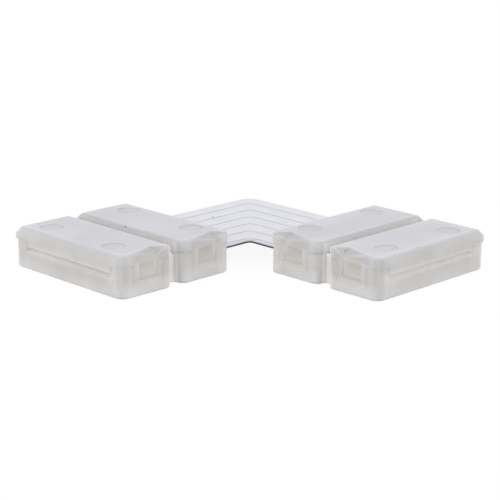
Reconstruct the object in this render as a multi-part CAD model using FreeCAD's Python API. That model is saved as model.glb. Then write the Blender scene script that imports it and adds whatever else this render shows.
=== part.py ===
import FreeCAD, Part
import math
import os

# Right-angle solderless connector for six-wire LED strip: two snap housings joined by a flexible circuit.
# The housing along +X is "b" and the one along -Y is "a", its mirror image. Both are modelled once, with
# "along" from the L's outer corner, "across" positive towards the hinges, and z up from the underside.
# Lengths are in millimetres, and a depth is measured down from the housing's top face.

V = FreeCAD.Vector

# Flexible circuit
board_width = 12.0
film_thickness = 0.15
track_thickness = 0.05
cover_thickness = 0.08
track_count = 6
track_width = 1.25
track_margin = 0.5
line_width = 0.16
line_depth = 0.04
bend_radius = 1.4
inner_bend_radius = 0.4
free_length = 4.6
pad_length = 3.8
film_margin = 0.3

# Housing
side_wall = 1.45
housing_height = 4.1
lid_length = 5.83
lid_gap = 1.43
floor_thickness = 0.8
end_wall = 0.9
board_side_play = 0.15
board_seat_depth = 2.38
strip_seat_depth = 2.25
strip_lead_in = 0.2
lid_depth = 1.2
seam = 0.02
front_corner_radius = 1.0
corner_radius = 0.2
top_edge_radius = 0.28
foot_chamfer = 0.15
gap_notch_depth = 1.0
seat_rib_width = 0.6

# Bridge between the lids, which carries the contacts
bridge_depth = 1.35
bridge_under_lid = 0.5
slot_floor_depth = 3.1
contact_side_play = 0.05

# Hinges
hinge_offset = 0.18
bead_radius = 0.33
bead_play = 0.04
bead_end_inset = 0.2
lid_side_inset = 0.75

# Lids
lid_top_thickness = 0.85
lid_wall = 0.8
lid_latch_wall = 1.1
press_lip_play = 0.1
strip_mouth_height = 0.4
press_bar_width = 0.7
press_bar_inset = 0.75
press_bar_play = 0.08
mark_diameter = 2.35
mark_depth = 0.07
mark_from_end = 1.8
mark_across = 4.5
ramp_from_end = 1.55
ramp_to_end = 1.2
ramp_return = 1.3
ramp_inset = 1.0
ramp_drop = 0.65

# Latch tabs and catches
tab_width = 3.5
tab_thickness = 0.85
tab_from_outer_end = 3.2
tab_play = 0.03
tab_chamfer = 0.5
tab_bottom_depth = 3.2
window_width = 2.4
window_bottom_depth = 2.65
window_top_depth = 0.9
catch_recess = 0.12
catch_side_play = 0.05
catch_bottom_play = 0.05
catch_slit = 0.1
catch_nose_height = 0.35
catch_slope_depth = 0.38

# Contacts
contact_thickness = 0.2
contact_width = 1.1
contact_bend = 0.3
anchor_length = 1.1
tongue_shoulder = 1.5
tongue_depth = 1.6
tip_reach = 4.2
tip_curl = 0.6
tip_rise = 0.3

# How far a cutting shape runs past what it cuts
overrun = 1.0

# Places worked out from the sizes above
track_pitch = (board_width - 2 * track_margin - track_width) / (track_count - 1)
housing_width = board_width + 2 * (board_side_play + side_wall)
board_seat_height = housing_height - board_seat_depth
strip_seat_height = housing_height - strip_seat_depth
split_height = housing_height - lid_depth
bridge_height = housing_height - bridge_depth
slot_floor_height = housing_height - slot_floor_depth
tab_bottom_height = housing_height - tab_bottom_depth
window_bottom_height = housing_height - window_bottom_depth
window_top_height = housing_height - window_top_depth
tongue_height = housing_height - tongue_depth
housing_length = 2 * lid_length + lid_gap
housing_start = board_width + free_length
housing_end = housing_start + housing_length
bridge_middle = housing_start + lid_length + lid_gap / 2
half_width = housing_width / 2
channel = board_width / 2 + board_side_play
track_bottom = board_seat_height + film_thickness
pad_height = track_bottom + track_thickness
board_top = pad_height + cover_thickness
board_end = bridge_middle - lid_gap / 2 - bridge_under_lid - film_margin
cover_end = board_end - pad_length
hinge_axis = half_width + hinge_offset
tip_height = pad_height + contact_thickness / 2
anchor_height = slot_floor_height + contact_thickness / 2
seam_height = split_height - seam


def rounded_wire(corners, place):
    """Closed wire through (a, b, radius) corners, each rounded by its radius; place maps (a, b) to 3-D."""
    edges, marks = [], []
    for i, (a, b, radius) in enumerate(corners):
        before, after = corners[i - 1], corners[(i + 1) % len(corners)]
        here = V(a, b, 0)
        to_before = (V(before[0], before[1], 0) - here).normalize()
        to_after = (V(after[0], after[1], 0) - here).normalize()
        half = to_before.getAngle(to_after) / 2
        if radius <= 0 or half > math.pi / 2 - 1e-4:
            marks.append((here, None, here))
            continue
        reach = radius / math.tan(half)
        bisector = (to_before + to_after).normalize()
        middle = here + bisector * (radius / math.sin(half) - radius)
        marks.append((here + to_before * reach, middle, here + to_after * reach))
    last = marks[-1][2]
    for start, middle, end in marks:
        if (start - last).Length > 1e-6:
            edges.append(Part.LineSegment(place(last.x, last.y), place(start.x, start.y)).toShape())
        if middle is not None:
            arc = [place(point.x, point.y) for point in (start, middle, end)]
            edges.append(Part.Arc(*arc).toShape())
        last = end
    return Part.Wire(edges)


def plate(corners, low, high):
    """Solid with a plan outline of (along, across, radius) corners between two heights."""
    wire = rounded_wire(corners, lambda a, b: V(a, b, low))
    return Part.Face(wire).extrude(V(0, 0, high - low))


def rail(corners, start, length):
    """Solid with an (across, z, radius) section that runs along the housing."""
    wire = rounded_wire(corners, lambda a, b: V(start, a, b))
    return Part.Face(wire).extrude(V(length, 0, 0))


def box(along, across, height):
    """Block between the (low, high) limits of each direction."""
    return Part.makeBox(along[1] - along[0], across[1] - across[0], height[1] - height[0],
                        V(along[0], across[0], height[0]))


def edges_where(shape, test):
    return [edge for edge in shape.Edges if test(edge.BoundBox)]


def to_side_a(shape):
    """Mirror image of a shape of side b, in the plane through the L's corners."""
    return shape.mirror(V(0, board_width / 2, 0), V(1, 1, 0))


# Flexible circuit: both arms of the L lie between two distances from its outer edges

def elbow(outer, inner, end, low, high, radii):
    """L-shaped strip between two distances from the board's outer edges, square at both ends."""
    edge = board_width / 2
    corners = [(outer, edge - outer, radii[0]), (end, edge - outer, 0), (end, edge - inner, 0),
               (inner, edge - inner, radii[1]), (inner, edge - end, 0), (outer, edge - end, 0)]
    return plate(corners, low, high)


def track_edges():
    """Distances of each track's outer and inner edge from the board's outer edge."""
    outer_edges = [track_margin + i * track_pitch for i in range(track_count)]
    return [(outer, outer + track_width) for outer in outer_edges]


def make_film():
    return elbow(0, board_width, board_end, board_seat_height, track_bottom, (bend_radius, inner_bend_radius))


def make_tracks():
    end = board_end - film_margin
    return [elbow(outer, inner, end, track_bottom, pad_height, (0, 0)) for outer, inner in track_edges()]


def make_cover(tracks):
    """White cover: its face sinks into a fine line along each track's inner edge."""
    cover = elbow(0, board_width, cover_end, track_bottom, board_top, (bend_radius, inner_bend_radius))
    lines = []
    for outer, inner in track_edges():
        lines.append(elbow(inner - line_width / 2, inner + line_width / 2, cover_end,
                           board_top - line_depth, board_top + line_depth,
                           (bend_radius, bend_radius - line_width)))
    return cover.cut(tracks + lines)


# Contacts: one bent ribbon each, symmetrical about the bridge

def ribbon_outline(path, thickness):
    """Closed outline of a bent ribbon of even thickness about a path of (along, z, radius) points."""
    points = [V(a, b, 0) for a, b, radius in path]
    runs = [(points[i + 1] - points[i]).normalize() for i in range(len(points) - 1)]
    sides = [V(-run.y, run.x, 0) for run in runs]
    left, right = [], []
    for i, (a, b, radius) in enumerate(path):
        before, after = sides[max(i - 1, 0)], sides[min(i, len(sides) - 1)]
        reach = (before + after) * (thickness / 2 / (1 + before.dot(after)))
        turn = 0
        if 0 < i < len(path) - 1:
            turn = math.copysign(1, runs[i - 1].cross(runs[i]).z)
        inside, outside = radius - thickness / 2, radius + thickness / 2
        here = points[i]
        radii = {0: (0, 0), 1: (inside, outside), -1: (outside, inside)}[turn]
        left.append((here.x + reach.x, here.y + reach.y, radii[0]))
        right.append((here.x - reach.x, here.y - reach.y, radii[1]))
    return left + right[::-1]


def contact_path():
    """Half of a contact's centre line, from its anchor in the bridge out to its curled tip."""
    return [(anchor_length / 2, anchor_height, contact_bend),
            (anchor_length / 2, tongue_height, contact_bend),
            (tongue_shoulder, tongue_height, 2 * contact_bend),
            (tip_reach, tip_height, 2 * contact_bend),
            (tip_reach + tip_curl, tip_height + tip_rise, 0)]


def tongue_top(reach):
    """Height of a tongue's upper face at a distance from the bridge's middle."""
    slope = (tongue_height - tip_height) / (tip_reach - tongue_shoulder)
    middle = tip_height + slope * (tip_reach - reach)
    return middle + contact_thickness / 2 * math.hypot(1, slope)


def contact_middles():
    """Places across the housing of the contacts' middles."""
    return [(i - (track_count - 1) / 2) * track_pitch for i in range(track_count)]


def make_contact(across):
    half = contact_path()
    path = [(-a, b, radius) for a, b, radius in half[::-1]] + half
    outline = [(bridge_middle + a, b, radius) for a, b, radius in ribbon_outline(path, contact_thickness)]
    wire = rounded_wire(outline, lambda a, b: V(a, across - contact_width / 2, b))
    return Part.Face(wire).extrude(V(0, contact_width, 0))


# Housing base

def base_outline():
    """Plan of the base, notched on the latch side between its two lids."""
    first, second = housing_start + lid_length, housing_end - lid_length
    notch = -half_width + gap_notch_depth
    notch_radius = min(front_corner_radius, 0.9 * gap_notch_depth)
    return [(housing_start, -half_width, corner_radius), (first, -half_width, notch_radius),
            (first, notch, 0), (second, notch, 0), (second, -half_width, corner_radius),
            (housing_end, -half_width, front_corner_radius), (housing_end, half_width, corner_radius),
            (housing_start, half_width, corner_radius)]


def tab_middle(lid_start):
    return lid_start + lid_length - tab_from_outer_end


def lid_starts():
    """Where the inner and the outer lid begin along the housing."""
    return housing_start, housing_end - lid_length


def make_tray():
    """Floor and walls, with a sill for the circuit board at one end and for the strip at the other."""
    tray = plate(base_outline(), 0, seam_height)
    tray = tray.makeChamfer(foot_chamfer, edges_where(tray, lambda b: b.ZMax < 1e-6))
    inside = box((housing_start + end_wall, housing_end - end_wall), (-channel, channel),
                 (floor_thickness, housing_height))
    board_mouth = box((housing_start - overrun, bridge_middle), (-channel, channel),
                      (board_seat_height, housing_height))
    outside = housing_end + strip_lead_in
    profile = [(bridge_middle, strip_seat_height), (housing_end - strip_lead_in, strip_seat_height),
               (outside, strip_seat_height - 2 * strip_lead_in), (outside, housing_height),
               (bridge_middle, housing_height), (bridge_middle, strip_seat_height)]
    outline = Part.makePolygon([V(along, -channel, height) for along, height in profile])
    strip_mouth = Part.Face(outline).extrude(V(0, 2 * channel, 0))
    return tray.cut([inside, board_mouth, strip_mouth])


def make_seat_ribs():
    """Ribs between the contacts that carry the circuit board on one side and the strip on the other."""
    ribs = []
    for middle in contact_middles()[:-1]:
        across = middle + track_pitch / 2
        sides = (across - seat_rib_width / 2, across + seat_rib_width / 2)
        ribs.append(box((housing_start + end_wall / 2, bridge_middle), sides,
                        (floor_thickness / 2, board_seat_height)))
        ribs.append(box((bridge_middle, housing_end - end_wall / 2), sides,
                        (floor_thickness / 2, strip_seat_height)))
    return ribs


def make_bridge():
    """Cross wall under the gap, with an open slot for each contact's anchor and tongues."""
    reach = lid_gap / 2 + bridge_under_lid
    low = floor_thickness / 2
    wall = box((bridge_middle - reach, bridge_middle + reach), (-channel, channel), (low, bridge_height))
    visible = box((bridge_middle - lid_gap / 2 + tab_play, bridge_middle + lid_gap / 2 - tab_play),
                  (-half_width + gap_notch_depth, channel), (low, bridge_height))
    slots = []
    half = contact_width / 2 + contact_side_play
    foot = anchor_length / 2 + contact_thickness
    for across in contact_middles():
        sides = (across - half, across + half)
        slots.append(box((bridge_middle - foot, bridge_middle + foot), sides,
                         (slot_floor_height, housing_height)))
        slots.append(box((bridge_middle - reach - overrun, bridge_middle + reach + overrun), sides,
                         (tongue_height - 2 * contact_thickness, housing_height)))
    return wall.fuse(visible), slots


def make_catch(lid_start):
    """Recess for a lid's latch tab, and the sloping catch that fills the tab's window to a fine slit."""
    middle = tab_middle(lid_start)
    half = tab_width / 2 + tab_play
    back = -half_width + tab_thickness + tab_play
    recess = box((middle - half, middle + half), (-half_width - overrun, back),
                 (tab_bottom_height - tab_play, housing_height))
    low, top = window_bottom_height + catch_bottom_play, window_top_height - catch_slit
    nose = -half_width + catch_recess
    hook = [(-channel, low, 0), (nose, low, 0), (nose, low + catch_nose_height, 0),
            (nose + catch_slope_depth, top, 0), (-channel, top, 0)]
    length = window_width - 2 * catch_side_play
    return recess, rail(hook, middle - length / 2, length)


def make_bead(lid_start):
    """Round bead at the wall's top that a lid turns on."""
    return Part.makeCylinder(bead_radius, lid_length - 2 * bead_end_inset,
                             V(lid_start + bead_end_inset, hinge_axis, split_height), V(1, 0, 0))


def make_base():
    bridge, slots = make_bridge()
    base = make_tray().fuse([bridge] + make_seat_ribs())
    catches = [make_catch(start) for start in lid_starts()]
    base = base.cut(slots + [recess for recess, hook in catches])
    base = base.fuse([hook for recess, hook in catches] + [make_bead(start) for start in lid_starts()])
    return base.removeSplitter()


# Lids

def lid_block(start):
    """Outer form of a lid: crowned edges, a rounded front corner and a side that slopes to the hinge."""
    reach = hinge_axis + bead_radius / 2
    section = [(-half_width, split_height, 0), (-half_width, housing_height, 0),
               (half_width - lid_side_inset, housing_height, 0), (reach, split_height + bead_radius, 0),
               (reach, split_height, 0)]
    block = rail(section, start, lid_length)
    front = start + lid_length
    upright = edges_where(block, lambda b: b.ZLength > seam and b.YMax < 0 and b.XMin > front - 1e-6)
    block = block.makeFillet(front_corner_radius, upright)
    crown = min(top_edge_radius, 0.45 * front_corner_radius)
    return block.makeFillet(crown, edges_where(block, lambda b: b.ZMin > housing_height - 1e-6))


def lid_hollow(start):
    """Cavity under the lid and the socket round the hinge bead."""
    end = start + lid_length
    cavity = box((start + lid_wall, end - lid_wall), (-half_width + lid_latch_wall, channel - tab_play),
                 (0, housing_height - lid_top_thickness))
    socket = Part.makeCylinder(bead_radius + bead_play, lid_length + 2 * overrun,
                               V(start - overrun, hinge_axis, split_height), V(1, 0, 0))
    return [cavity, socket]


def make_end_lip(start, groove_at_start):
    """Lip across a lid's end wall that closes the mouth down to the circuit board or to the strip's slot."""
    end = start + lid_length
    if groove_at_start:
        along, bottom = (end - lid_wall, end), strip_seat_height + strip_mouth_height
    else:
        along, bottom = (start, start + lid_wall), board_top + press_lip_play
    side = channel - tab_play
    return box(along, (-side, side), (bottom, housing_height - lid_top_thickness))


def make_tab(start):
    """Latch tab that hangs flush in the base, and the window that takes the catch."""
    middle = tab_middle(start)
    front, back = -half_width, -half_width + tab_thickness
    tab = box((middle - tab_width / 2, middle + tab_width / 2), (front, back),
              (tab_bottom_height, housing_height - lid_top_thickness))
    low = tab_bottom_height + 1e-6
    foot = edges_where(tab, lambda b: b.ZMax < low and b.XLength > tab_thickness and b.YMax < front + 1e-6)
    tab = tab.makeFillet(tab_thickness / 8, foot)
    lead = edges_where(tab, lambda b: b.ZMax < low and b.YMin > back - 1e-6)
    tab = tab.makeChamfer(tab_chamfer, lead)
    sides = (middle - window_width / 2, middle + window_width / 2)
    window = box(sides, (front - overrun, front + lid_latch_wall), (window_bottom_height, window_top_height))
    return tab, window


def make_ramp(start):
    """Pyramid cut from the latch edge, where a finger lifts the lid, deepest near the flexible circuit."""
    deep, front, top = start + ramp_from_end, -half_width, housing_height
    face, edge = V(deep, front, top - ramp_drop), V(deep, front + ramp_inset, top)
    near = V(deep - ramp_return, front, top)
    far = V(start + lid_length - ramp_to_end, front, top)
    # The base triangle is stretched in its own plane, so that it stands clear of the lid on both sides
    outline = [face * 2 - edge, edge * 2 - face, near * 2 - (face + edge) / 2]
    return Part.makeLoft([Part.makePolygon(outline + outline[:1]), Part.Vertex(far)], True)


def make_press_bar(lid_start, groove_at_start):
    """Bar under the lid that holds the contact tongues down on their pads."""
    sign = 1 if groove_at_start else -1
    near = tip_reach - press_bar_inset - press_bar_width / 2
    far = near + press_bar_width
    along = sorted((bridge_middle + sign * near, bridge_middle + sign * far))
    side = (track_count - 1) / 2 * track_pitch + contact_width
    bottom = tongue_top(near) + press_bar_play
    return box(along, (-side, side), (bottom, housing_height - lid_top_thickness / 2))


def make_marks(start, groove_at_start):
    """Shallow round ejector marks on the lid's top face."""
    along = start + lid_length - mark_from_end if groove_at_start else start + mark_from_end
    bottom = housing_height - mark_depth
    return [Part.makeCylinder(mark_diameter / 2, overrun, V(along, side * mark_across, bottom))
            for side in (-1, 1)]


def make_lid(start, groove_at_start):
    tab, window = make_tab(start)
    lid = lid_block(start).cut(lid_hollow(start) + [make_ramp(start)])
    lid = lid.fuse([tab, make_press_bar(start, groove_at_start), make_end_lip(start, groove_at_start)])
    return lid.cut([window] + make_marks(start, groove_at_start)).removeSplitter()


def write(name, shape):
    """Write one node, moved so that the origin is under the middle of the whole connector."""
    low = board_width / 2 - hinge_axis - bead_radius
    middle = (housing_end + low) / 2
    # The board's outer edge on side b lies half a board above the local middle line
    moved = shape.translated(V(-middle, middle - board_width / 2, 0))
    solids = moved.Solids
    (solids[0] if len(solids) == 1 else Part.makeCompound(solids)).exportStep(f"parts/{name}.step")


def main():
    os.makedirs("parts", exist_ok=True)
    tracks = make_tracks()
    write("flex_film", make_film())
    write("flex_cover", make_cover(tracks))
    for number, track in enumerate(tracks, 1):
        write(f"flex_track_{number}", track)
    inner_start, outer_start = lid_starts()
    pieces = {"base": make_base(), "inner_lid": make_lid(inner_start, False),
              "outer_lid": make_lid(outer_start, True)}
    for number, across in enumerate(contact_middles(), 1):
        pieces[f"contact_{number}"] = make_contact(-across)
    for name, shape in pieces.items():
        write(f"{name}_b", shape)
        write(f"{name}_a", to_side_a(shape))


main()
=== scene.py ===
"""Looks of a right-angle LED strip connector: two milky snap housings on a white flexible circuit.

Housing b points along +X and housing a along -Y. The frame's origin lies under the middle of the
connector and +Z is up. Lengths are metres in the meshes and millimetres inside the finishes.
"""

import logging
import math
from dataclasses import dataclass
from enum import Enum
from typing import Any, Optional, Sequence, Union

import bpy
from mathutils import Matrix, Vector


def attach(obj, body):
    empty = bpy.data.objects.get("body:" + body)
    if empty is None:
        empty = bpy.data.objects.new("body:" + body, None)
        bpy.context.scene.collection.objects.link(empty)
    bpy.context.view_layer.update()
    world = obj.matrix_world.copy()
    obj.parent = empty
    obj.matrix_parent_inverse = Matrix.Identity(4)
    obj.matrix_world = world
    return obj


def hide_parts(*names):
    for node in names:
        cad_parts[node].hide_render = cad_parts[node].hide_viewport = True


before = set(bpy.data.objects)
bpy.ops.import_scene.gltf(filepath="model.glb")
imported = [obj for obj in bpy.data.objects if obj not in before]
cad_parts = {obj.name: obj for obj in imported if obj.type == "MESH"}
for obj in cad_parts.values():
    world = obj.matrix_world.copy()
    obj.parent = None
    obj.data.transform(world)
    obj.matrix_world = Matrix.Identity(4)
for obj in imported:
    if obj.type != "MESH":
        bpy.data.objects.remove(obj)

LOG = logging.getLogger("led_strip_connector")
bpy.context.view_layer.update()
MM = 0.001

Colour = tuple[float, float, float]
Point = tuple[float, float, float]
Border = tuple[float, ...]

BLACK: Colour = (0.0, 0.0, 0.0)
WHITE: Colour = (1.0, 1.0, 1.0)


def srgb(red: float, green: float, blue: float) -> Colour:
    """Turns a colour of 0 to 255 screen values into the linear colour that a shader takes.

    Args:
        red: Screen value of red.
        green: Screen value of green.
        blue: Screen value of blue.

    Returns:
        The linear colour.
    """
    def linear(value: float) -> float:
        """One channel from screen value to linear light, by the standard's own numbers."""
        share = value / 255
        return share / 12.92 if share <= 0.04045 else ((share + 0.055) / 1.055) ** 2.4

    return linear(red), linear(green), linear(blue)


def around(middle: float, far: float = 0.05, near: float = 0.03) -> Border:
    """Border of a narrow stripe: 0 farther than far from its middle, and 1 nearer than near."""
    return middle - far, middle - near, middle + near, middle + far


class Side(Enum):
    """The two housings, by the letter that ends their nodes' names."""

    A = "a"
    B = "b"


@dataclass(frozen=True)
class Tint:
    """A colour that is laid over another."""

    colour: Colour
    share: float = 1.0  # its share where it is strongest


@dataclass(frozen=True)
class Texture:
    """Smooth noise about 0.5."""

    per_mm: float  # number of swells to a millimetre
    detail: float = 2.0  # number of finer layers
    rough: float = 0.5  # strength of each finer layer
    stretch: Point = (1.0, 1.0, 1.0)  # factor of each axis, more than 1 where the swells are shorter


# Shader values


class Wire:
    """A shader value. Arithmetic on it adds Math nodes to its graph."""

    def __init__(self, graph: "Graph", socket: bpy.types.NodeSocket) -> None:
        """Keeps the output socket that carries the value.

        Args:
            graph: The graph that the socket belongs to.
            socket: The output socket.
        """
        self.graph = graph
        self.socket = socket

    def other(self, name: str) -> "Wire":
        """Another output of the same node."""
        return Wire(self.graph, self.graph.find(self.socket.node.outputs, name))

    def math(self, operation: str, *values: "Value") -> "Wire":
        """Applies a Math operation to this value.

        Args:
            operation: Name of the Math node's operation.
            values: The operation's further values.

        Returns:
            The result.
        """
        inputs = dict(enumerate((self, *values)))
        return self.graph.node("ShaderNodeMath", {"operation": operation}, inputs)

    def __add__(self, value: "Value") -> "Wire":
        """This value plus another."""
        return self.math("ADD", value)

    def __mul__(self, value: "Value") -> "Wire":
        """This value times another."""
        return self.math("MULTIPLY", value)

    def __sub__(self, value: "Value") -> "Wire":
        """This value less another."""
        return self.math("SUBTRACT", value)

    def __rsub__(self, value: float) -> "Wire":
        """A number less this value."""
        return self.graph.node("ShaderNodeMath", {"operation": "SUBTRACT"}, {0: value, 1: self})

    def __truediv__(self, value: "Value") -> "Wire":
        """This value divided by another."""
        return self.math("DIVIDE", value)

    __radd__ = __add__

    def size(self) -> "Wire":
        """This value without its sign."""
        return self.math("ABSOLUTE")

    def lower(self, value: "Value") -> "Wire":
        """The lower of this value and another."""
        return self.math("MINIMUM", value)

    def higher(self, value: "Value") -> "Wire":
        """The higher of this value and another."""
        return self.math("MAXIMUM", value)

    def to_nearest(self) -> "Wire":
        """Distance to the nearest whole number."""
        return self.math("PINGPONG", 0.5)

    def between(self, low: float, high: float) -> "Wire":
        """Rises smoothly from 0 at low to 1 at high, and falls where low is the greater.

        Args:
            low: Value that gives 0.
            high: Value that gives 1.

        Returns:
            The share from 0 to 1.
        """
        values = {"Value": self, "From Min": low, "From Max": high, "To Min": 0.0, "To Max": 1.0}
        return self.graph.node("ShaderNodeMapRange", {"interpolation_type": "SMOOTHSTEP"}, values)

    def inside(self, border: Border) -> "Wire":
        """Share of this value inside a border.

        Args:
            border: Two values, of which the first gives 0 and the second 1, or four values: where the
                share starts, is full, is still full, and ends.

        Returns:
            The share from 0 to 1.
        """
        share = self.between(*border[:2])
        return share * self.between(*border[:1:-1]) if len(border) > 2 else share


Value = Union[Wire, float]


class Graph:
    """The node tree of one material or world."""

    def __init__(self, tree: bpy.types.NodeTree) -> None:
        """Takes over an empty node tree."""
        self.tree = tree
        self.tree.nodes.clear()

    @staticmethod
    def find(sockets: bpy.types.bpy_prop_collection, key: Union[int, str]) -> bpy.types.NodeSocket:
        """Finds a socket.

        Args:
            sockets: A node's inputs or outputs.
            key: The socket's number, identifier or name.

        Returns:
            The socket.
        """
        if isinstance(key, int):
            return sockets[key]
        return next((s for s in sockets if s.identifier == key), None) or sockets[key]

    def node(self, kind: str, settings: Optional[dict[str, Any]] = None,
             values: Optional[dict[Union[int, str], Any]] = None, out: Union[int, str] = 0) -> Wire:
        """Adds a node.

        Args:
            kind: The node's type.
            settings: Its properties, such as an operation.
            values: Numbers, colours or wires for its input sockets.
            out: The output to return.

        Returns:
            The chosen output, or the first input for a node without outputs.
        """
        made = self.tree.nodes.new(kind)
        for name, setting in (settings or {}).items():
            setattr(made, name, setting)
        for key, value in (values or {}).items():
            socket = self.find(made.inputs, key)
            if isinstance(value, Wire):
                self.tree.links.new(value.socket, socket)
            elif socket.type == "RGBA" and len(value) == 3:
                socket.default_value = (*value, 1.0)
            else:
                socket.default_value = value
        return Wire(self, self.find(made.outputs, out) if len(made.outputs) else made.inputs[0])

    def away(self, place: Wire, point: Point) -> Wire:
        """Distance of a place from a point, in millimetres."""
        ends = {0: place, 1: point}
        return self.node("ShaderNodeVectorMath", {"operation": "DISTANCE"}, ends, out="Value")

    def millimetres(self) -> Wire:
        """Place on the object in millimetres of the part's frame."""
        place = self.node("ShaderNodeTexCoord", out="Object")
        return self.node("ShaderNodeVectorMath", {"operation": "SCALE"}, {0: place, "Scale": 1 / MM})

    def noise(self, place: Wire, texture: Texture) -> Wire:
        """Smooth noise about 0.5.

        Args:
            place: Place in millimetres.
            texture: The noise's scale and layers.

        Returns:
            The noise.
        """
        ends = {0: place, 1: texture.stretch}
        values = {"Vector": self.node("ShaderNodeVectorMath", {"operation": "MULTIPLY"}, ends),
                  "Scale": texture.per_mm, "Detail": texture.detail, "Roughness": texture.rough}
        return self.node("ShaderNodeTexNoise", {}, values, out="Fac")

    def axes(self, place: Wire) -> tuple[Wire, Wire, Wire]:
        """The x, y and z of a place."""
        x = self.node("ShaderNodeSeparateXYZ", {}, {0: place}, out="X")
        return x, x.other("Y"), x.other("Z")

    def mixed(self, share: Value, first: Any, second: Any) -> Wire:
        """Blends two colours.

        Args:
            share: Share of the second colour.
            first: A colour or a wire of one.
            second: A colour or a wire of one.

        Returns:
            The blended colour.
        """
        values = {"Factor_Float": share, "A_Color": first, "B_Color": second}
        return self.node("ShaderNodeMix", {"data_type": "RGBA"}, values, out="Result_Color")

    def tinted(self, tone: Wire, where: Wire, tint: Tint) -> Wire:
        """Lays a tint over a colour.

        Args:
            tone: The colour below.
            where: Share from 0 to 1 of the tint's full strength.
            tint: The tint.

        Returns:
            The colour with the tint.
        """
        return self.mixed(where * tint.share, tone, tint.colour)

    def bump(self, height: Wire, depth: float, strength: float) -> Wire:
        """Normal that is tilted by a height field.

        Args:
            height: Height from 0 to 1.
            depth: Depth in millimetres that a height of 1 stands for.
            strength: Share of the effect.

        Returns:
            The normal.
        """
        values = {"Strength": strength, "Distance": depth * MM, "Height": height}
        return self.node("ShaderNodeBump", {}, values)

    def surface(self, values: dict[Union[int, str], Any]) -> None:
        """Ends the material in one Principled shader."""
        shader = self.node("ShaderNodeBsdfPrincipled", {}, values)
        self.node("ShaderNodeOutputMaterial", {}, {"Surface": shader})


def new_material(name: str) -> tuple[bpy.types.Material, Graph]:
    """Makes an empty node material.

    Args:
        name: Name of the material.

    Returns:
        The material and its graph.
    """
    material = bpy.data.materials.new(name)
    material.use_nodes = True
    return material, Graph(material.node_tree)


# Finishes


@dataclass(frozen=True)
class Speck:
    """A dark, ragged grain of dirt on a surface."""

    place: Point  # where it sits, in millimetres of the part's frame
    radius: float  # its radius in millimetres
    border: Border = (1.3, 0.5)  # shares of the radius between which it fades in

    def laid(self, tone: Wire, place: Wire, grain: Wire, dirt: Tint) -> Wire:
        """Lays the speck over a colour.

        Args:
            tone: The colour below.
            place: Place in millimetres.
            grain: Noise about 0.5 that makes the speck's outline ragged.
            dirt: The speck's colour.

        Returns:
            The colour with the speck.
        """
        border = tuple(share * self.radius for share in self.border)
        ragged = tone.graph.away(place, self.place) + (grain - 0.5) * self.radius
        return tone.graph.tinted(tone, ragged.inside(border), dirt)


@dataclass(frozen=True)
class MouldLayout:
    """Sizes of the two housings in millimetres."""

    housing: float = 9.355  # distance of a housing's middle along its arm from the frame's middle
    across: float = 7.79  # distance of a housing's middle line from the frame's middle
    half_length: float = 6.545
    half_width: float = 7.6
    corner: float = 1.0  # radius of the upright corner between the entry and the latch side
    top: float = 4.1
    split_height: float = 2.9  # height at which the lids close on the base
    lid_start: float = -6.545  # where the inner lid starts, from the housing's middle
    lid_pitch: float = 7.26  # distance from the inner lid's start to the outer lid's
    latch_side: float = 1.2  # how far the latch side and its tabs reach inwards
    tab_shift: float = -0.285  # middle between the two latch tabs, from the housing's middle
    tab_along: float = 3.63  # distance of the tabs from that place
    tab_half: float = 1.765  # half of a tab's width, to the middle of its seam
    tab_bottom: float = 0.885  # height of the seam under a tab
    mating: float = 0.05  # distance within which a point counts as lying on a seam
    slit_half: float = 1.175  # half of a latch window's width, to the middle of the slit round its catch
    slit_bottom: float = 1.475  # height of the slit under the catch
    mark_along: float = 4.745  # distance of the ejector marks from the housing's middle, along it
    mark_across: float = 4.5  # distance of the ejector marks from the housing's middle line
    mark_radius: float = 1.175
    diagonal: Border = (-0.5, 0.5)  # border between the housings, in the sum of x and y
    rounded: Border = (0.0, 0.4)  # border of the rounded corner, in square millimetres

    def mates(self, point: Vector) -> bool:
        """Tells whether a point of the mesh lies where a lid closes against the base.

        Args:
            point: The point in metres.

        Returns:
            True on the split line and on a latch tab's outline.
        """
        x, y, z = point / MM
        along, across = max(x, -y) - self.housing, max(y, -x) - self.across
        from_tab = abs(abs(along - self.tab_shift) - self.tab_along)
        beside_tab = abs(from_tab - self.tab_half) < self.mating or abs(z - self.tab_bottom) < self.mating
        on_latch_side = across < self.latch_side - self.half_width and z < self.split_height
        return abs(z - self.split_height) < self.mating or (on_latch_side and beside_tab)


LAYOUT = MouldLayout()


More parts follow.
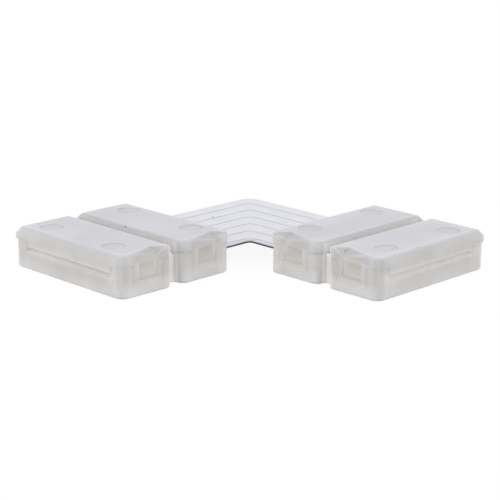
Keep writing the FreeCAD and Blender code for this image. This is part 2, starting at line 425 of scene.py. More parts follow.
class Zone(Enum):
    """Regions of the housings, by their soft borders in some of a spot's distances."""

    RAMP_SKIN = dict(inward=(0.04, 0.12))  # inside the two outer edges of a finger ramp
    UPPER = dict(height=(3.6, 4.08))  # the tops and the sides' upper edges, which take the tops' colour with its painted light
    BELOW_TOP = dict(height=(3.95, 3.7))  # the sides below their upper edges
    FOOT = dict(height=(1.7, 0.2))  # the sides' lower part
    RIM = dict(height=(3.7, 3.86, 4.06, 4.098))  # the sides' upper edges, which get painted shade
    LATCH_FACE = dict(across=(-7.2, -7.5))  # the outer face of the latch side
    LATCH_MIDDLE = dict(height=(0.9, 1.8, 3.6, 4.0))  # the latch side's middle height, at the lids' lips
    BRIDGE_PART = dict(along=(-1.5, -0.5))  # the latch side from the notch to the entry
    LID_PART = dict(along=(0.5, 1.2, 2.2, 3.2))  # the latch side at the outer lid's first half
    # The wall at the bottom of the notch between the lids
    NOTCH = dict(off_middle=(0.82, 0.72), across=(-6.2, -6.5))
    # The latch side near the circuit
    INNER_CORNER = dict(along=(-5.2, -5.8), across=(-7.2, -7.5), height=(3.95, 3.7))
    INNER_EDGE = dict(along=(-6.2, -6.4))  # the latch side's very end near the circuit
    FRONT = dict(along=(6.145, 6.345))  # the face with the strip entry
    FRONT_FOOT = dict(along=(6.145, 6.345), height=(1.6, 0.3))  # that face's lower part
    OVER_MOUTH = dict(along=(6.145, 6.345), height=(2.2, 2.6, 3.8, 4.0))  # that face above the entry
    # That face below the entry, where the contacts inside show through
    UNDER_MOUTH = dict(along=(6.145, 6.345), off_line=(6.4, 4.6), height=(0.3, 1.1, 1.6, 2.0))
    # The strip entry's sill
    SILL = dict(along=(5.445, 5.595), off_line=(6.25, 6.2), height=(1.6, 1.7, 1.9, 1.95))
    # The walls at the ends of the entry
    SILL_ENDS = dict(along=(5.445, 5.595), off_line=around(6.135, 0.06), height=(1.8, 1.85, 2.85, 2.95))
    TO_HINGES = dict(across=(-4.0, 5.0))  # the entry's end near the hinges
    WINDOW = dict(from_tab=(1.25, 0.85), across=(-6.1, -6.3), height=(1.3, 1.9, 2.8, 3.4))  # the windows
    # Round the windows, where the catches inside show through, with painted shade of the hollow behind the
    # wall
    BEHIND_WINDOW = dict(from_tab=(2.0, 0.3), across=(-6.1, -6.3), height=(0.7, 2.1, 2.5, 4.0))
    RAMP = dict(on_lid=(0.15, 0.25, 4.53, 4.63))  # finger ramps, along the lids
    RAMP_SLOPE = dict(across=(-6.52, -6.58), height=(3.35, 3.45))  # their sloping faces
    # The wall just below them
    RAMP_FOOT = dict(on_lid=(0.25, 1.25), across=(-7.48, -7.56), height=(3.0, 3.3, 3.75, 3.9))
    # The height of the latch tabs
    TAB = dict(across=(0.0, -1.0), height=(LAYOUT.tab_bottom - 0.1, LAYOUT.tab_bottom,
                                           LAYOUT.split_height, LAYOUT.split_height + 0.1))
    TAB_SIDES = dict(from_tab=around(LAYOUT.tab_half))  # the seams beside a tab
    # The seam under a tab
    TAB_FOOT = dict(from_tab=(LAYOUT.tab_half + 0.1, LAYOUT.tab_half), height=around(LAYOUT.tab_bottom))
    SPLIT = dict(height=around(LAYOUT.split_height))  # the seam between lids and base
    CATCH = dict(across=(0.0, -1.0), height=(1.4, 1.45, 3.2, 3.25))  # the height of the catches
    SLIT_SIDES = dict(from_tab=around(LAYOUT.slit_half, 0.06))  # the slits beside a catch
    # The slit under a catch
    SLIT_FOOT = dict(from_tab=(LAYOUT.slit_half + 0.06, LAYOUT.slit_half + 0.03),
                     height=around(LAYOUT.slit_bottom, 0.06))
    # The ejector marks
    MARK = dict(from_mark=(LAYOUT.mark_radius + 0.1, LAYOUT.mark_radius - 0.1), height=(3.9, 3.98))
    MARK_RIM = dict(from_mark=(LAYOUT.mark_radius - 0.45, LAYOUT.mark_radius - 0.1))  # their outer part
    # The walls' inner faces
    HOLLOW = dict(depth=(0.13, 0.25, 2.8, 3.8), off_middle=(1.55, 1.85), height=(0.15, 0.35, 3.3, 3.6))
    SEAM_SKIN = dict(depth=(0.02, 0.04, 1.3, 1.6))  # the outer part of the seams
    INNER_SEAMS = dict(along=(-1.45, -1.55))  # seams of the inner lid
    OUTER_SEAMS = dict(along=(0.74, 0.78))  # seams of the outer lid
    SLIT_SKIN = dict(depth=(0.03, 0.1, 1.3, 1.6))  # the outer part of the slits
    # The walls of the groove between the lids
    GROOVE = dict(off_middle=(0.76, 0.74), across=(6.9, 6.5), height=(4.0, 3.75))
    MOUTH_SKIN = dict(depth=(0.02, 0.1))  # just inside the entry
    MOUTH_CORE = dict(depth=(0.15, 0.6))  # farther inside the entry


@dataclass(frozen=True)
class Spot:
    """A place on a housing in millimetres, folded so that both housings share their numbers."""

    along: Wire  # distance from the housing's middle, along it towards the strip entry
    across: Wire  # distance from the housing's middle line, towards the hinges
    height: Wire  # height above the underside
    off_middle: Wire  # distance from the housing's middle, along it either way
    off_line: Wire  # distance from the housing's middle line, either way
    inward: Wire  # distance inside the latch side's face or below the top, whichever is less
    on_lid: Wire  # distance along the nearest lid from its start
    from_tab: Wire  # distance along the housing from the middle of the nearest latch tab
    from_mark: Wire  # distance from the middle of the nearest ejector mark
    on_b: Wire  # 1 on housing b and 0 on housing a
    corner: Wire  # share of the spot in the rounding of the upright corner
    depth: Wire  # distance inside the housing's outline, a rectangle with that one rounded corner

    @staticmethod
    def at(place: Wire) -> "Spot":
        """Tells where on a housing a place lies.

        Args:
            place: Place in millimetres.

        Returns:
            The spot.
        """
        x, y, height = place.graph.axes(place)
        along, across = x.higher(0.0 - y) - LAYOUT.housing, y.higher(0.0 - x) - LAYOUT.across
        inward = (across + LAYOUT.half_width).lower(LAYOUT.top - height)
        on_lid = along - LAYOUT.lid_start - along.math("GREATER_THAN", 0.0) * LAYOUT.lid_pitch
        from_tab = ((along - LAYOUT.tab_shift).size() - LAYOUT.tab_along).size()
        mark_x, mark_y = along.size() - LAYOUT.mark_along, across.size() - LAYOUT.mark_across
        from_mark = (mark_x * mark_x + mark_y * mark_y).math("SQRT")
        on_b = (x + y).inside(LAYOUT.diagonal)
        past = along - (LAYOUT.half_length - LAYOUT.corner)
        beside = (LAYOUT.corner - LAYOUT.half_width) - across
        out, aside = past.higher(0.0), beside.higher(0.0)
        depth = LAYOUT.corner - (out * out + aside * aside).math("SQRT") - past.higher(beside).lower(0.0)
        depth = depth.lower(along + LAYOUT.half_length).lower(LAYOUT.half_width - across)
        return Spot(along, across, height, along.size(), across.size(), inward, on_lid, from_tab, from_mark,
                    on_b, (out * aside).inside(LAYOUT.rounded), depth)

    def share(self, zone: Zone) -> Wire:
        """Share from 0 to 1 to which the spot is inside a zone."""
        first, *others = (getattr(self, name).inside(border) for name, border in zone.value.items())
        return math.prod(others, start=first)

    def finger_ramp(self) -> Wire:
        """Share of the spot on a finger ramp's sloping faces, and on the wall just below them."""
        slope = self.share(Zone.RAMP_SKIN) * self.share(Zone.RAMP_SLOPE)
        return self.share(Zone.RAMP) * slope.higher(self.share(Zone.RAMP_FOOT))

    def seam(self) -> Wire:
        """Share of the spot on the faces where a lid closes against the base."""
        tab = self.share(Zone.TAB_SIDES).higher(self.share(Zone.TAB_FOOT)) * self.share(Zone.TAB)
        return tab.higher(self.share(Zone.SPLIT))

    def slit(self, beside: float) -> Wire:
        """Share of the spot in the slit round a catch, where the parts beside the catch count for less."""
        slit = (self.share(Zone.SLIT_SIDES) * beside).higher(self.share(Zone.SLIT_FOOT))
        return slit * self.share(Zone.CATCH)


@dataclass(frozen=True)
class Glow:
    """Strengths of the light that comes out of a housing's hidden faces, which lamps hardly reach."""

    colour: Colour = (0.31, 0.304, 0.293)
    hollow: float = 0.62  # strength on the walls' inner faces
    seam: float = 0.5  # strength in the seams
    seam_rest: float = 0.5  # share of it away from the lids' own seams
    slit: float = 0.45  # strength in the slits under the catches
    slit_sides: float = 0.55  # share of it in the slits beside the catches
    groove: float = 0.4  # strength in the groove between the lids
    window: float = 0.1  # strength in the windows
    mouth: float = 0.26  # strength just inside the entry
    mouth_gain: float = 0.34  # what comes to it farther inside
    mouth_far: float = 0.6  # share of it at the entry's end far from the hinges

    def light(self, spot: Spot) -> Wire:
        """Colour of the light at a spot.

        Args:
            spot: Place on a housing.

        Returns:
            The colour.
        """
        window = spot.share(Zone.WINDOW)
        hollow = spot.share(Zone.HOLLOW) * (1.0 - window) * self.hollow
        lids = spot.share(Zone.INNER_SEAMS).higher(spot.share(Zone.OUTER_SEAMS))
        seams = spot.seam() * spot.share(Zone.SEAM_SKIN) * self.seam
        seams = seams * (lids * (1.0 - self.seam_rest) + self.seam_rest)
        slits = spot.slit(self.slit_sides) * spot.share(Zone.SLIT_SKIN) * self.slit
        mouth = spot.share(Zone.SILL).higher(spot.share(Zone.SILL_ENDS)) * spot.share(Zone.MOUTH_SKIN)
        mouth = mouth * (spot.share(Zone.TO_HINGES) * (1.0 - self.mouth_far) + self.mouth_far)
        mouth = mouth * (spot.share(Zone.MOUTH_CORE) * self.mouth_gain + self.mouth)
        groove = spot.share(Zone.GROOVE) * self.groove
        lit = hollow.higher(seams).higher(slits).higher(groove).higher(window * self.window).higher(mouth)
        return spot.height.graph.mixed(lit, BLACK, self.colour)


@dataclass(frozen=True)
class MilkyPlastic:
    """Natural, slightly translucent moulded plastic with a satin skin, whose colour also carries painted
    light and shade.
    """

    specks: Sequence[Speck]
    # The tops' colour is the sides' colour painted lighter and cooler, for the light that falls from above.
    side: Colour = srgb(202, 201, 200)
    top: Colour = srgb(205, 204, 210)
    glow: Glow = Glow()
    flow: Texture = Texture(0.22)  # wide clouds from the melt's flow
    cloud: Texture = Texture(0.35, 1.0, stretch=(1.0, 1.0, 1.6))  # clouds that stain the sides
    swell: Texture = Texture(0.9, stretch=(1.0, 1.0, 0.5))  # unevenness of the skin
    grain: Texture = Texture(7.0, 3.0, 0.6)  # its fine grain
    flow_border: Border = (0.3, 0.7)  # values of the flow between which it pales the plastic
    cloud_border: Border = (0.35, 0.65)  # values of the cloud between which it stains the sides
    flow_tint: Tint = Tint(WHITE, 0.12)  # what the flow lays over the plastic
    stain: Tint = Tint(srgb(196, 192, 187), 0.35)  # what the cloud lays over the sides
    shade: Colour = srgb(150, 146, 143)  # grey of the places that get less light
    shade_corner: float = 0.17  # share of the shade in the upright corner
    shade_latch: float = 0.07  # share of it on the latch side
    shade_bridge: float = 0.07  # what comes to that from the notch on
    shade_lid: float = 0.08  # what comes to that at the outer lid's first half
    shade_ramp: float = 0.13  # share of it on the finger ramps
    painted_light_foot: float = 0.2  # share of white on the latch side's lower part, painted light
    painted_light_notch: float = 0.05  # share of white in the notch, painted light
    painted_light_corner: float = 0.2  # share of white near the circuit, painted light
    painted_light_edge_loss: float = 0.6  # share of that painted light which the very end loses
    painted_light_front: float = 0.15  # share of white on the entry face's lower part, painted light
    painted_light_front_b: float = 0.06  # what housing b has less of it
    # Warm tint round a window where the catch inside shows through, painted darker with the shade of the
    # hollow behind the wall; the cloud adds to it
    catch_shade: Tint = Tint(srgb(176, 165, 148), 0.15)
    catch_cloud: float = 0.2  # what the cloud adds to its share
    contacts: Tint = Tint(srgb(176, 168, 162), 0.03)  # what shows through below the entry
    contacts_cloud: float = 0.3  # what the cloud adds to its share
    mouth: Tint = Tint(srgb(150, 148, 147), 0.03)  # shade above the entry
    mouth_b: float = 0.11  # what housing b adds to its share
    # Painted shade on the sides' rounded upper edges, against their highlight
    painted_rim_shade: Tint = Tint(srgb(180, 180, 182), 0.55)
    mark: Tint = Tint(srgb(184, 184, 188), 0.2)
    mark_rim_shade: float = 0.12  # what their outer part adds to its share, painted shade of the recess's wall
    dirt: Tint = Tint(srgb(66, 58, 52), 0.9)
    rough: float = 0.34  # middle value of the roughness
    rough_parts: tuple[float, float] = (0.12, 0.10)  # what swell and grain change in it
    relief_parts: tuple[float, float] = (0.8, 0.12)  # heights of swell and grain in the relief
    relief: tuple[float, float] = (0.012, 0.8)  # depth of the relief in millimetres, and share of its effect
    gloss: float = 0.35  # specular level
    index: float = 1.49  # index of refraction
    milky: float = 1.0  # share of light that scatters inside
    reach: float = 1.1  # how far light travels inside, in millimetres
    reach_tint: Colour = (1.0, 1.0, 1.05)

    def painted_light_and_shade(self, tone: Wire, spot: Spot) -> Wire:
        """Lays painted shade on the corner, the latch side and the ramps, and painted light on the latch
        side's lower part, the notch and the end near the circuit, over a colour.

        Args:
            tone: The colour below.
            spot: Place on a housing.

        Returns:
            The colour with painted light and shade.
        """
        graph = tone.graph
        tone = graph.mixed(spot.corner * spot.share(Zone.BELOW_TOP) * self.shade_corner, tone, self.shade)
        latch_side = spot.share(Zone.LATCH_FACE) * (1.0 - spot.share(Zone.FRONT))
        more = spot.share(Zone.BRIDGE_PART) * self.shade_bridge + spot.share(Zone.LID_PART) * self.shade_lid
        middle = latch_side * spot.share(Zone.LATCH_MIDDLE) * (1.0 - spot.share(Zone.WINDOW))
        tone = graph.mixed(middle * (more + self.shade_latch), tone, self.shade)
        # Painted light on the latch side's lower part and in the notch.
        low = spot.share(Zone.FOOT) * self.painted_light_foot
        tone = graph.mixed(latch_side * low, tone, WHITE)
        tone = graph.mixed(spot.share(Zone.NOTCH) * (low + self.painted_light_notch), tone, WHITE)
        # Painted light near the circuit, less at the very end.
        kept = 1.0 - spot.share(Zone.INNER_EDGE) * self.painted_light_edge_loss
        tone = graph.mixed(spot.share(Zone.INNER_CORNER) * kept * self.painted_light_corner, tone, WHITE)
        return graph.mixed(spot.finger_ramp() * self.shade_ramp, tone, self.shade)

    def shown_through_with_light_and_shade(self, tone: Wire, spot: Spot, cloud: Wire) -> Wire:
        """Lays the tints of what shows through the plastic over a colour, with painted shade round the
        windows and above the entry, and painted light on the entry face's lower part.

        Args:
            tone: The colour below.
            spot: Place on a housing.
            cloud: Noise about 0.5 that clouds the tints.

        Returns:
            The tinted colour.
        """
        graph = tone.graph
        # Painted shade round the windows, warm where the catch shows through.
        catch_shade = spot.share(Zone.BEHIND_WINDOW) * (cloud * self.catch_cloud + self.catch_shade.share)
        tone = graph.mixed(catch_shade, tone, self.catch_shade.colour)
        contacts = spot.share(Zone.UNDER_MOUTH) * (cloud * self.contacts_cloud + self.contacts.share)
        tone = graph.mixed(contacts, tone, self.contacts.colour)
        over = spot.share(Zone.OVER_MOUTH) * (spot.on_b * self.mouth_b + self.mouth.share)
        tone = graph.mixed(over, tone, self.mouth.colour)
        # Painted light on the entry face's lower part.
        pale = self.painted_light_front - spot.on_b * self.painted_light_front_b
        return graph.mixed(spot.share(Zone.FRONT_FOOT) * pale, tone, WHITE)

    def build(self) -> bpy.types.Material:
        """Makes the material.

        Returns:
            The material.
        """
        material, graph = new_material("milky_plastic")
        place = graph.millimetres()
        spot = Spot.at(place)
        cloud, swell, grain = (graph.noise(place, kind) for kind in (self.cloud, self.swell, self.grain))
        # Painted light: the tops lighter and cooler than the sides.
        tone = graph.mixed(spot.share(Zone.UPPER), self.side, self.top)
        tone = graph.tinted(tone, graph.noise(place, self.flow).inside(self.flow_border), self.flow_tint)
        tone = graph.tinted(tone, cloud.inside(self.cloud_border) * spot.share(Zone.BELOW_TOP), self.stain)
        tone = self.shown_through_with_light_and_shade(self.painted_light_and_shade(tone, spot), spot, cloud)
        pressed = spot.share(Zone.MARK)
        # Painted shade on the rounded upper edges, but not in the marks.
        tone = graph.tinted(tone, spot.share(Zone.RIM) * (1.0 - pressed), self.painted_rim_shade)
        # The marks' own darker tone, with painted shade in their outer part.
        mark_tone_and_shade = pressed * self.mark.share + pressed * spot.share(Zone.MARK_RIM) * self.mark_rim_shade
        tone = graph.mixed(mark_tone_and_shade, tone, self.mark.colour)
        for speck in self.specks:
            tone = speck.laid(tone, place, grain, self.dirt)
        of_swell, of_grain = self.rough_parts
        rough = self.rough + (swell - 0.5) * of_swell + (grain - 0.5) * of_grain
        of_swell, of_grain = self.relief_parts
        relief = graph.bump(swell * of_swell + grain * of_grain, *self.relief)
        graph.surface({"Base Color": tone, "Roughness": rough, "Normal": relief,
                       "IOR": self.index, "Specular IOR Level": self.gloss, "Subsurface Weight": self.milky,
                       "Subsurface Radius": self.reach_tint, "Subsurface Scale": self.reach * MM,
                       "Emission Color": self.glow.light(spot), "Emission Strength": 1.0})
        return material


@dataclass(frozen=True)
class CoverCoat:
    """Smooth white cover of the flexible circuit, sunk between its tracks, with painted shade along each
    track's edge as a fine grey line.
    """

    specks: Sequence[Speck]
    # Distance of the board's outer edges from the frame's middle planes, in millimetres
    outer_edge: float = 13.79
    first_line: float = 1.75  # distance of the first line from the outer edge, in millimetres
    pitch: float = 1.95
    lines: int = 6
    track_width: float = 1.25  # distance from a line back to its track's outer edge, which shows faintly
    line_border: Border = (0.13, 0.05)  # border of a line, in millimetres from its middle
    faint_border: Border = (0.16, 0.05)  # border of a faint line, in the same way
    groove_border: Border = (0.0, 0.35)  # border of the hollow along a line, in the same way
    swell: Texture = Texture(0.5)  # unevenness of the skin
    grain: Texture = Texture(9.0, 3.0, 0.6)  # its fine grain
    swell_border: Border = (0.3, 0.7)  # values of the swell between which the colour turns
    cool: Colour = srgb(224, 225, 235)  # colour of the low places
    pale: Colour = srgb(229, 229, 237)  # colour of the high places
    # Painted shade along each track's edge, drawn as a grey line
    line_shade: Tint = Tint(srgb(186, 187, 191), 0.6)
    faint_shade: float = 0.15  # share of that painted shade in the faint lines
    dirt: Tint = Tint(srgb(70, 65, 60))
    # Middle value of the roughness, and what the grain changes in it
    rough: tuple[float, float] = (0.3, 0.12)
    # Heights of lines, grain and swell in the relief
    relief_parts: tuple[float, float, float] = (0.6, 0.08, 0.3)
    relief: tuple[float, float] = (0.02, 0.7)  # depth of the relief in millimetres, and share of its effect
    gloss: float = 0.45  # specular level
    index: float = 1.5  # index of refraction
    coat: tuple[float, float] = (0.15, 0.2)  # share of the clear coat over it, and its roughness

    def beside(self, inward: Wire, first: float) -> Wire:
        """Distance from the nearest of the evenly spaced lines, of which the first is at a given place.

        Args:
            inward: Distance from the board's outer edges.
            first: Distance of the first line from the outer edge.

        Returns:
            The distance in millimetres.
        """
        last = first + (self.lines - 1) * self.pitch
        near = ((inward - first) / self.pitch).to_nearest() * self.pitch
        return near.higher(first - inward).higher(inward - last)

    def build(self) -> bpy.types.Material:
        """Makes the material.

        Returns:
            The material.
        """
        material, graph = new_material("cover_coat")
        place = graph.millimetres()
        x, y, _ = graph.axes(place)
        inward = (self.outer_edge - y).lower(x + self.outer_edge)
        near = self.beside(inward, self.first_line)
        faint_shade = self.beside(inward, self.first_line - self.track_width).inside(self.faint_border)
        swell, grain = graph.noise(place, self.swell), graph.noise(place, self.grain)
        tone = graph.mixed(swell.inside(self.swell_border), self.cool, self.pale)
        # Painted shade along the tracks' edges.
        line_shading = near.inside(self.line_border) * self.line_shade.share + faint_shade * self.faint_shade
        tone = graph.mixed(line_shading, tone, self.line_shade.colour)
        for speck in self.specks:
            tone = speck.laid(tone, place, grain, self.dirt)
        of_lines, of_grain, of_swell = self.relief_parts
        relief = near.inside(self.groove_border) * of_lines + grain * of_grain + swell * of_swell
        rough, of_rough = self.rough
        coat, coat_rough = self.coat
        graph.surface({"Base Color": tone, "Roughness": rough + (grain - 0.5) * of_rough, "IOR": self.index,
                       "Specular IOR Level": self.gloss, "Coat Weight": coat, "Coat Roughness": coat_rough,
                       "Normal": graph.bump(relief, *self.relief)})
        return material


@dataclass(frozen=True)
class DarkFilm:
    """Dark brown base film of the flexible circuit."""

    cloud: Texture = Texture(1.2, 3.0)
    fibre: Texture = Texture(6.0, stretch=(1.0, 1.0, 8.0))  # fine streaks in its cut edges
    dark: Colour = srgb(28, 25, 25)
    brown: Colour = srgb(44, 38, 36)
    # Middle value of the roughness, and what the streaks change in it
    rough: tuple[float, float] = (0.32, 0.2)
    # Depth of the streaks in millimetres, and share of their effect
    relief: tuple[float, float] = (0.006, 0.5)

    def build(self) -> bpy.types.Material:
        """Makes the material.

        Returns:
            The material.
        """
        material, graph = new_material("dark_film")
        place = graph.millimetres()
        fibre = graph.noise(place, self.fibre)
        rough, of_fibre = self.rough
        graph.surface({"Base Color": graph.mixed(graph.noise(place, self.cloud), self.dark, self.brown),
                       "Roughness": rough + (fibre - 0.5) * of_fibre,
                       "Normal": graph.bump(fibre, *self.relief)})
        return material


@dataclass(frozen=True)
class CopperFoil:
    """Rolled copper tracks, tinned where the cover leaves them bare."""

    bare: Border = (3.95, 4.1)  # border of the bare ends, in millimetres from the frame's middle planes
    pool: Texture = Texture(1.4)  # unevenness of the tin
    rolled: Texture = Texture(5.0, 3.0, stretch=(1.0, 6.0, 1.0))  # fine roll marks of the copper
    copper: tuple[Colour, Colour] = (srgb(201, 132, 92), srgb(222, 158, 116))
    tin: tuple[Colour, Colour] = (srgb(196, 194, 188), srgb(222, 220, 214))
    # Middle value of the roughness, and what tin and roll marks change in it
    rough: tuple[float, float, float] = (0.3, 0.2, 0.1)
    rolled_relief: float = 0.1  # height of the roll marks, where the tin's is 1
    relief: tuple[float, float] = (0.02, 0.6)  # depth of the relief in millimetres, and share of its effect

    def build(self) -> bpy.types.Material:
        """Makes the material.

        Returns:
            The material.
        """
        material, graph = new_material("copper_foil")
        place = graph.millimetres()
        x, y, _ = graph.axes(place)
        bare = x.higher(0.0 - y).inside(self.bare)
        pool, rolled = graph.noise(place, self.pool), graph.noise(place, self.rolled)
        tone = graph.mixed(bare, graph.mixed(rolled, *self.copper), graph.mixed(pool, *self.tin))
        rough, of_pool, of_rolled = self.rough
        relief = graph.bump(pool * bare + rolled * self.rolled_relief, *self.relief)
        graph.surface({"Base Color": tone, "Metallic": 1.0, "Normal": relief,
                       "Roughness": rough + (pool - 0.5) * of_pool + (rolled - 0.5) * of_rolled})
        return material


@dataclass(frozen=True)
class TinnedSpring:
    """Bright tin plate on rolled spring strip, with fine draw marks along it."""

    drawn: Texture = Texture(9.0, 3.0, 0.6, (0.4, 0.4, 6.0))
    cloud: Texture = Texture(1.6)  # clouds of the plating
    tin: tuple[Colour, Colour] = (srgb(188, 184, 174), srgb(222, 219, 211))
    # Middle value of the roughness, and what the draw marks change in it
    rough: tuple[float, float] = (0.26, 0.2)
    # Depth of the draw marks in millimetres, and share of their effect
    relief: tuple[float, float] = (0.006, 0.5)

    def build(self) -> bpy.types.Material:
        """Makes the material.

        Returns:
            The material.
        """
        material, graph = new_material("tinned_spring")
        place = graph.millimetres()
        drawn = graph.noise(place, self.drawn)
        rough, of_drawn = self.rough
        graph.surface({"Base Color": graph.mixed(graph.noise(place, self.cloud), *self.tin), "Metallic": 1.0,
                       "Roughness": rough + (drawn - 0.5) * of_drawn,
                       "Normal": graph.bump(drawn, *self.relief)})
        return material


# Pieces


def lone_selection(obj: bpy.types.Object) -> None:
    """Selects one object alone and makes it active.

    Args:
        obj: The object.
    """
    bpy.ops.object.select_all(action="DESELECT")
    obj.select_set(True)
    bpy.context.view_layer.objects.active = obj


def paint(obj: bpy.types.Object, material: bpy.types.Material) -> None:
    """Gives an object one material in place of what it has."""
    obj.data.materials.clear()
    obj.data.materials.append(material)


@dataclass
class SoftMould:
    """A moulded piece: the CAD node's shape with its long sharp edges rounded as a mould leaves them."""

    node: str  # the CAD node that the piece stands for
    body: str  # the body that it rides on
    material: bpy.types.Material
    edge: float = 0.04 * MM  # width of the rounding in metres
    shortest: float = 0.35 * MM  # length of the shortest edge that is rounded, in metres
    sharpest: float = 32.0  # least angle between faces that counts as a sharp edge, in degrees
    welded: float = 0.002 * MM  # distance within which the mesh's points are joined, in metres
    flat: float = 0.4  # greatest angle between faces that are joined to one, in degrees
    smooth: float = 40.0  # greatest angle between faces that are shaded as one, in degrees
    evenness: int = 60  # weight of large faces in the normals

    def build(self) -> bpy.types.Object:
        """Makes the rounded copy and puts it in the node's place.

        Returns:
            The new piece.
        """
        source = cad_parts[self.node]
        piece = source.copy()
        piece.data = source.data.copy()
        for key in [key for key in piece.keys() if key.startswith("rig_")]:
            del piece[key]
        piece.parent = None
        piece.name = f"moulded_{self.node}"
        bpy.context.scene.collection.objects.link(piece)
        lone_selection(piece)
        bpy.ops.object.mode_set(mode="EDIT")
        bpy.ops.mesh.select_all(action="SELECT")
        bpy.ops.mesh.remove_doubles(threshold=self.welded)
        bpy.ops.mesh.customdata_custom_splitnormals_clear()
        bpy.ops.mesh.dissolve_limited(angle_limit=math.radians(self.flat))
        bpy.ops.mesh.select_all(action="DESELECT")
        bpy.ops.mesh.select_mode(type="EDGE")
        bpy.ops.object.mode_set(mode="OBJECT")
        LOG.info("%s: %d edges picked", piece.name, self.pick_edges(piece.data))
        bpy.ops.object.mode_set(mode="EDIT")
        bpy.ops.mesh.bevel(offset=self.edge, segments=2, profile=0.5, affect="EDGES", clamp_overlap=True)
        bpy.ops.object.mode_set(mode="OBJECT")
        bpy.ops.object.shade_smooth_by_angle(angle=math.radians(self.smooth))
        weighted = piece.modifiers.new("even_normals", "WEIGHTED_NORMAL")
        weighted.keep_sharp = True
        weighted.weight = self.evenness
        bpy.ops.object.modifier_apply(modifier=weighted.name)
        paint(piece, self.material)
        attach(piece, self.body)
        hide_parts(self.node)
        return piece

    def pick_edges(self, mesh: bpy.types.Mesh) -> int:
        """Selects the long sharp edges of a mesh, apart from those that close on another piece.

        Args:
            mesh: The mesh, in object mode.

        Returns:
            How many edges are selected.
        """
        normals: dict[tuple[int, int], list[Vector]] = {}
        for face in mesh.polygons:
            for key in face.edge_keys:
                normals.setdefault(key, []).append(face.normal.copy())
        limit = math.cos(math.radians(self.sharpest))
        count = 0
        for edge in mesh.edges:
            sides = normals.get(edge.key, [])
            first, second = (mesh.vertices[index].co for index in edge.vertices)
            sharp = len(sides) == 2 and sides[0].dot(sides[1]) < limit
            seam = LAYOUT.mates(first) and LAYOUT.mates(second)
            edge.select = sharp and not seam and (first - second).length > self.shortest
            count += edge.select
        return count


@dataclass
class Housing:
    """One snap housing: a base tray and two lids that swing on it."""

    side: Side
    finish: bpy.types.Material

    def build(self) -> list[bpy.types.Object]:
        """Makes the base and both lids.

        Returns:
            The three pieces.
        """
        letter = self.side.value
        made = [SoftMould(f"base_{letter}", "connector", self.finish).build()]
        for lid in ("inner_lid", "outer_lid"):
            made.append(SoftMould(f"{lid}_{letter}", f"{lid}_{letter}", self.finish).build())
        return made


@dataclass
class SpringContacts:
    """The six spring contacts of one housing."""

    side: Side
    finish: bpy.types.Material
    count: int = 6

    def build(self) -> list[bpy.types.Object]:
        """Dresses the contacts.

        Returns:
            The contacts.
        """
        numbers = range(1, self.count + 1)
        made = [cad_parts[f"contact_{number}_{self.side.value}"] for number in numbers]
        for contact in made:
            paint(contact, self.finish)
        return made


@dataclass
class FlexibleCircuit:
    """The flat circuit between the housings: dark film, copper tracks and a white cover."""

    specks: Sequence[Speck]
    track_count: int = 6

    def build(self) -> list[bpy.types.Object]:
        """Dresses the circuit's layers.

        Returns:
            The film, the cover and the tracks.
        """
        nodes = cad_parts
        paint(nodes["flex_film"], DarkFilm().build())
        paint(nodes["flex_cover"], CoverCoat(self.specks).build())
        foil = CopperFoil().build()
        tracks = [nodes[f"flex_track_{number}"] for number in range(1, self.track_count + 1)]
        for track in tracks:
            paint(track, foil)
        return [nodes["flex_film"], nodes["flex_cover"], *tracks]


# Studio


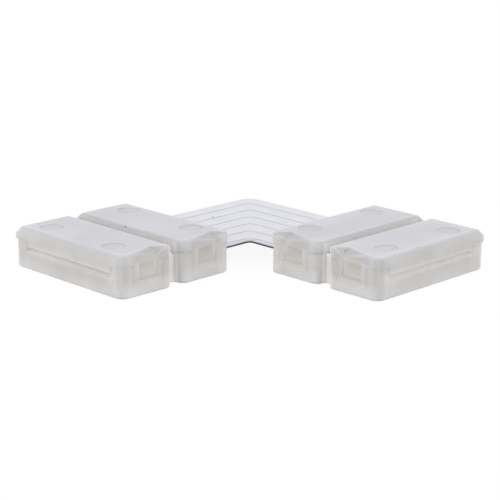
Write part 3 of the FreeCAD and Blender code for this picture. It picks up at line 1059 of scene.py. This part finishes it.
@dataclass(frozen=True)
class Studio:
    """Camera, lamps, floor and surroundings."""

    azimuth: float = 44.82
    elevation: float = 15.87
    roll: float = 0.47
    distance: float = 0.1464  # distance from the target, in metres
    upward: float = -0.00033  # shift of the camera along its upright, in metres
    lens: float = 110.5  # focal length in millimetres
    sensor: float = 36.0  # width of the sensor in millimetres
    clip: tuple[float, float] = (0.005, 20.0)  # nearest and farthest distance that the camera sees, in metres
    target: Point = (0.0, 0.0, 0.002)  # point that the distance is measured from, in metres
    ambient: float = 0.86
    floor_width: float = 6.0
    floor_drop: float = 0.00002  # how far the floor lies below the object, in metres
    floor_white: float = 1.02  # strength of the floor's white, which hides most of its shadows
    floor_hidden: float = 0.91  # share of the floor that shows as that white
    floor_tone: Colour = (0.93, 0.93, 0.93)  # colour of the rest
    # Name, place in metres, width in metres and power in watts of each lamp
    lamps: tuple[tuple[str, Point, float, float], ...] = (
        ("overhead", (0.0, 0.0, 0.45), 0.45, 0.10),
        ("front_left_box", (-0.10, -0.48, 0.12), 0.4, 0.52),
        ("front_right_box", (0.48, 0.10, 0.12), 0.4, 0.44))

    def camera(self) -> None:
        """Places the camera at the photograph's viewing angle."""
        azimuth, above, roll = (math.radians(v) for v in (self.azimuth, self.elevation, self.roll))
        level = math.cos(above)
        back = Vector((math.sin(azimuth) * level, -math.cos(azimuth) * level, math.sin(above)))
        right = Vector((math.cos(azimuth), math.sin(azimuth), 0.0))
        up = back.cross(right)
        right, up = (right * math.cos(roll) + up * math.sin(roll),
                     up * math.cos(roll) - right * math.sin(roll))
        place = Vector(self.target) + back * self.distance + up * self.upward
        data = bpy.data.cameras.new("camera")
        data.lens, data.sensor_width = self.lens, self.sensor
        data.clip_start, data.clip_end = self.clip
        camera = bpy.data.objects.new("camera", data)
        bpy.context.scene.collection.objects.link(camera)
        camera.matrix_world = Matrix((right, up, back)).transposed().to_4x4()
        camera.location = place
        bpy.context.scene.camera = camera

    def lamp(self, name: str, place: Point, width: float, watts: float) -> None:
        """Adds a soft square lamp that faces the object.

        Args:
            name: Name of the lamp.
            place: Where it hangs, in metres.
            width: Side of the square, in metres.
            watts: Power of the lamp.
        """
        data = bpy.data.lights.new(name, "AREA")
        data.shape, data.size, data.energy = "SQUARE", width, watts
        lamp = bpy.data.objects.new(name, data)
        bpy.context.scene.collection.objects.link(lamp)
        lamp.location = place
        lamp.rotation_euler = (-Vector(place)).to_track_quat("-Z", "Y").to_euler()

    def floor(self) -> None:
        """Makes the pale floor, which shows white and keeps a faint shadow."""
        bpy.ops.object.select_all(action="DESELECT")
        bpy.ops.mesh.primitive_plane_add(size=self.floor_width, location=(0.0, 0.0, -self.floor_drop))
        floor = bpy.context.object
        floor.name = "floor"
        material, graph = new_material("pale_floor")
        path = graph.node("ShaderNodeLightPath", out="Is Camera Ray")
        seen = path.higher(path.other("Is Glossy Ray")).higher(path.other("Is Transmission Ray"))
        matt = graph.node("ShaderNodeBsdfDiffuse", {}, {"Color": self.floor_tone})
        white = graph.node("ShaderNodeEmission", {}, {"Color": WHITE, "Strength": self.floor_white})
        mix = graph.node("ShaderNodeMixShader", {}, {0: seen * self.floor_hidden, 1: matt, 2: white})
        graph.node("ShaderNodeOutputMaterial", {}, {"Surface": mix})
        paint(floor, material)

    def surroundings(self) -> None:
        """Sets an even pale light from all round, and a white background for the camera."""
        world = bpy.data.worlds.new("surroundings")
        world.use_nodes = True
        bpy.context.scene.world = world
        graph = Graph(world.node_tree)
        path = graph.node("ShaderNodeLightPath", out="Is Camera Ray")
        strength = path * (1.0 - self.ambient) + self.ambient
        light = graph.node("ShaderNodeBackground", {}, {"Color": WHITE, "Strength": strength})
        graph.node("ShaderNodeOutputWorld", {}, {"Surface": light})

    def build(self) -> None:
        """Sets up the whole studio."""
        self.camera()
        for lamp in self.lamps:
            self.lamp(*lamp)
        self.floor()
        self.surroundings()
        bpy.context.scene.view_settings.view_transform = "Standard"


def main() -> None:
    """Builds the connector's pieces and the studio."""
    logging.basicConfig(level=logging.INFO, format="%(message)s")
    Studio().build()
    on_housings = (Speck((14.52, 3.6, 4.03), 0.1), Speck((11.48, 0.66, 3.82), 0.06),
                   Speck((-8.12, -8.64, 4.0), 0.12), Speck((-1.19, -8.87, 2.85), 0.13))
    on_cover = (Speck((-10.49, 5.17, 2.0), 0.13),)
    plastic = MilkyPlastic(on_housings).build()
    spring = TinnedSpring().build()
    pieces = FlexibleCircuit(on_cover).build()
    for side in Side:
        pieces += Housing(side, plastic).build()
        pieces += SpringContacts(side, spring).build()
    for piece in pieces:
        LOG.info("%s: %d faces", piece.name, len(piece.data.polygons))


if __name__ == "__main__":
    main()
